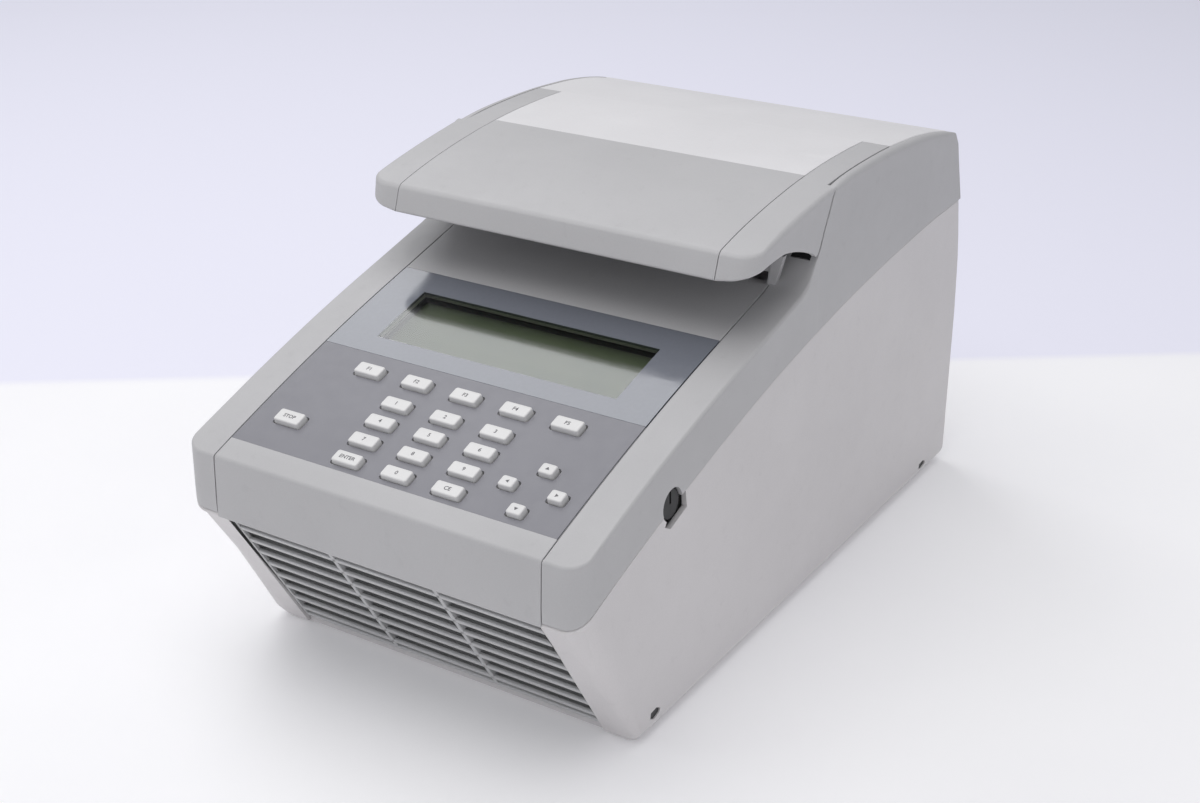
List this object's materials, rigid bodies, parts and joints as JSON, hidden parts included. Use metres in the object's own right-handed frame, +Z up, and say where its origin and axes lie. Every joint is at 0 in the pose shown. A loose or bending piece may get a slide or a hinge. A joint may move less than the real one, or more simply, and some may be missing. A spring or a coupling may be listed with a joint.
{
  "type": "thermal cycler",
  "caption": "Benchtop thermal cycler with a sloping keypad and display, a hinged heated lid over a well block, side controls and a louvred front.",
  "frame": {"origin": "on the bench, under the centre of the instrument's overall box", "axes": "+Z up, +Y from the keypad end to the rear panel, +X towards the side with the contrast knob"},
  "size_m": [0.24, 0.4068, 0.231],
  "materials": {
    "grey_shell": "fine moulded texture",
    "cream_shell": "fine moulded texture",
    "beige_shell": "fine moulded texture",
    "grille_plastic": "fine moulded texture",
    "black_plastic": "satin moulded plastic",
    "overlay_film": "printed polyester film",
    "window_film": "clear glossy window with a printed border",
    "key_plastic": "satin moulded plastic",
    "circuit_board": "solder mask",
    "black_frame": "black painted metal",
    "lcd_cell": "display cell",
    "foot_rubber": "matt rubber",
    "screw_steel": "zinc plated",
    "deck_plastic": "fine moulded texture",
    "gasket_rubber": "soft silicone",
    "block_metal": "bead blasted",
    "ceramic_white": "ceramic faced modules",
    "sink_metal": "extruded fins",
    "fan_plastic": "moulded fan",
    "bracket_steel": "plated sheet",
    "psu_steel": "folded sheet case",
    "liner_plastic": "heat resistant moulding",
    "plate_metal": "anodised plate",
    "spring_steel": "spring wire"
  },
  "bodies": {
    "housing": {"base_tray": "beige_shell", "block_gasket": "gasket_rubber", "contrast_pot": "black_plastic", "control_panel": "grey_shell", "display_window": "window_film", "fan_bracket": "bracket_steel", "fan_housing": "fan_plastic", "front_grille": "grille_plastic", "heatsink": "sink_metal", "hinge_trough": "bracket_steel", "keypad_board": "circuit_board", "keypad_overlay": "overlay_film", "lcd_frame": "black_frame", "lcd_glass": "lcd_cell", "main_board": "circuit_board", "peltier_modules": "ceramic_white", "power_inlet": "black_plastic", "power_supply": "psu_steel", "rear_panel": "beige_shell", "rear_screws": "screw_steel", "rubber_feet": "foot_rubber", "sample_block": "block_metal", "sample_deck": "deck_plastic", "side_band_left": "grey_shell", "side_band_right": "grey_shell", "side_panel_left": "beige_shell", "side_panel_right": "beige_shell", "switch_frame": "black_plastic"},
    "knob": {"contrast_knob": "black_plastic"},
    "fan": {"fan_rotor": "fan_plastic"},
    "rocker": {"power_rocker": "black_plastic"},
    "lid": {"lid_front_cover": "grey_shell", "lid_top_cover": "cream_shell", "lid_strip_right": "grey_shell", "lid_strip_left": "grey_shell", "lid_liner": "liner_plastic"},
    "plate": {"heated_plate": "plate_metal", "plate_springs": "spring_steel"},
    "button_f1": {"key_f1": "key_plastic"},
    "button_f2": {"key_f2": "key_plastic"},
    "button_f3": {"key_f3": "key_plastic"},
    "button_f4": {"key_f4": "key_plastic"},
    "button_f5": {"key_f5": "key_plastic"},
    "button_1": {"key_1": "key_plastic"},
    "button_2": {"key_2": "key_plastic"},
    "button_3": {"key_3": "key_plastic"},
    "button_4": {"key_4": "key_plastic"},
    "button_5": {"key_5": "key_plastic"},
    "button_6": {"key_6": "key_plastic"},
    "button_7": {"key_7": "key_plastic"},
    "button_8": {"key_8": "key_plastic"},
    "button_9": {"key_9": "key_plastic"},
    "button_enter": {"key_enter": "key_plastic"},
    "button_0": {"key_0": "key_plastic"},
    "button_clear": {"key_clear": "key_plastic"},
    "button_stop": {"key_stop": "key_plastic"},
    "button_up": {"key_up": "key_plastic"},
    "button_left": {"key_left": "key_plastic"},
    "button_right": {"key_right": "key_plastic"},
    "button_down": {"key_down": "key_plastic"}
  },
  "joints": [
    {"name": "press_f1", "type": "slide", "parent": "housing", "child": "button_f1", "axis": [0, 0.2922, -0.9564], "range_m": [0, 0.0012], "stiffness_N_per_m": 300, "springref_m": -0.001},
    {"name": "press_f2", "type": "slide", "parent": "housing", "child": "button_f2", "axis": [0, 0.2922, -0.9564], "range_m": [0, 0.0012], "stiffness_N_per_m": 300, "springref_m": -0.001},
    {"name": "press_f3", "type": "slide", "parent": "housing", "child": "button_f3", "axis": [0, 0.2922, -0.9564], "range_m": [0, 0.0012], "stiffness_N_per_m": 300, "springref_m": -0.001},
    {"name": "press_f4", "type": "slide", "parent": "housing", "child": "button_f4", "axis": [0, 0.2922, -0.9564], "range_m": [0, 0.0012], "stiffness_N_per_m": 300, "springref_m": -0.001},
    {"name": "press_f5", "type": "slide", "parent": "housing", "child": "button_f5", "axis": [0, 0.2922, -0.9564], "range_m": [0, 0.0012], "stiffness_N_per_m": 300, "springref_m": -0.001},
    {"name": "press_1", "type": "slide", "parent": "housing", "child": "button_1", "axis": [0, 0.3078, -0.9514], "range_m": [0, 0.0012], "stiffness_N_per_m": 300, "springref_m": -0.001},
    {"name": "press_2", "type": "slide", "parent": "housing", "child": "button_2", "axis": [0, 0.3078, -0.9514], "range_m": [0, 0.0012], "stiffness_N_per_m": 300, "springref_m": -0.001},
    {"name": "press_3", "type": "slide", "parent": "housing", "child": "button_3", "axis": [0, 0.3078, -0.9514], "range_m": [0, 0.0012], "stiffness_N_per_m": 300, "springref_m": -0.001},
    {"name": "press_4", "type": "slide", "parent": "housing", "child": "button_4", "axis": [0, 0.3078, -0.9514], "range_m": [0, 0.0012], "stiffness_N_per_m": 300, "springref_m": -0.001},
    {"name": "press_5", "type": "slide", "parent": "housing", "child": "button_5", "axis": [0, 0.3078, -0.9514], "range_m": [0, 0.0012], "stiffness_N_per_m": 300, "springref_m": -0.001},
    {"name": "press_6", "type": "slide", "parent": "housing", "child": "button_6", "axis": [0, 0.3078, -0.9514], "range_m": [0, 0.0012], "stiffness_N_per_m": 300, "springref_m": -0.001},
    {"name": "press_7", "type": "slide", "parent": "housing", "child": "button_7", "axis": [0, 0.3198, -0.9475], "range_m": [0, 0.0012], "stiffness_N_per_m": 300, "springref_m": -0.001},
    {"name": "press_8", "type": "slide", "parent": "housing", "child": "button_8", "axis": [0, 0.3198, -0.9475], "range_m": [0, 0.0012], "stiffness_N_per_m": 300, "springref_m": -0.001},
    {"name": "press_9", "type": "slide", "parent": "housing", "child": "button_9", "axis": [0, 0.3198, -0.9475], "range_m": [0, 0.0012], "stiffness_N_per_m": 300, "springref_m": -0.001},
    {"name": "press_enter", "type": "slide", "parent": "housing", "child": "button_enter", "axis": [0, 0.3243, -0.9459], "range_m": [0, 0.0012], "stiffness_N_per_m": 300, "springref_m": -0.001},
    {"name": "press_0", "type": "slide", "parent": "housing", "child": "button_0", "axis": [0, 0.3243, -0.9459], "range_m": [0, 0.0012], "stiffness_N_per_m": 300, "springref_m": -0.001},
    {"name": "press_clear", "type": "slide", "parent": "housing", "child": "button_clear", "axis": [0, 0.3243, -0.9459], "range_m": [0, 0.0012], "stiffness_N_per_m": 300, "springref_m": -0.001},
    {"name": "press_stop", "type": "slide", "parent": "housing", "child": "button_stop", "axis": [0, 0.3198, -0.9475], "range_m": [0, 0.0012], "stiffness_N_per_m": 300, "springref_m": -0.001},
    {"name": "press_up", "type": "slide", "parent": "housing", "child": "button_up", "axis": [0, 0.3078, -0.9514], "range_m": [0, 0.0012], "stiffness_N_per_m": 300, "springref_m": -0.001},
    {"name": "press_left", "type": "slide", "parent": "housing", "child": "button_left", "axis": [0, 0.3198, -0.9475], "range_m": [0, 0.0012], "stiffness_N_per_m": 300, "springref_m": -0.001},
    {"name": "press_right", "type": "slide", "parent": "housing", "child": "button_right", "axis": [0, 0.3198, -0.9475], "range_m": [0, 0.0012], "stiffness_N_per_m": 300, "springref_m": -0.001},
    {"name": "press_down", "type": "slide", "parent": "housing", "child": "button_down", "axis": [0, 0.3243, -0.9459], "range_m": [0, 0.0012], "stiffness_N_per_m": 300, "springref_m": -0.001},
    {"name": "knob_turn", "type": "hinge", "parent": "housing", "child": "knob", "pos_m": [0.11, -0.1245, 0.122], "axis": [1, 0, 0], "range_deg": [-140, 140]},
    {"name": "fan_spin", "type": "hinge", "parent": "housing", "child": "fan", "pos_m": [0, 0.1485, 0.141], "axis": [0, 1, 0], "continuous": true},
    {"name": "power_rock", "type": "hinge", "parent": "housing", "child": "rocker", "pos_m": [0.036, 0.196, 0.034], "axis": [1, 0, 0], "range_deg": [-12, 0]},
    {"name": "lid_hinge", "type": "hinge", "parent": "housing", "child": "lid", "pos_m": [0, 0.18, 0.208], "axis": [-1, 0, 0], "range_deg": [0, 75]},
    {"name": "plate_press", "type": "slide", "parent": "lid", "child": "plate", "axis": [0, 0, 1], "range_m": [0, 0.004], "stiffness_N_per_m": 3000, "springref_m": -0.004, "deforming": ["plate_springs"]}
  ]
}
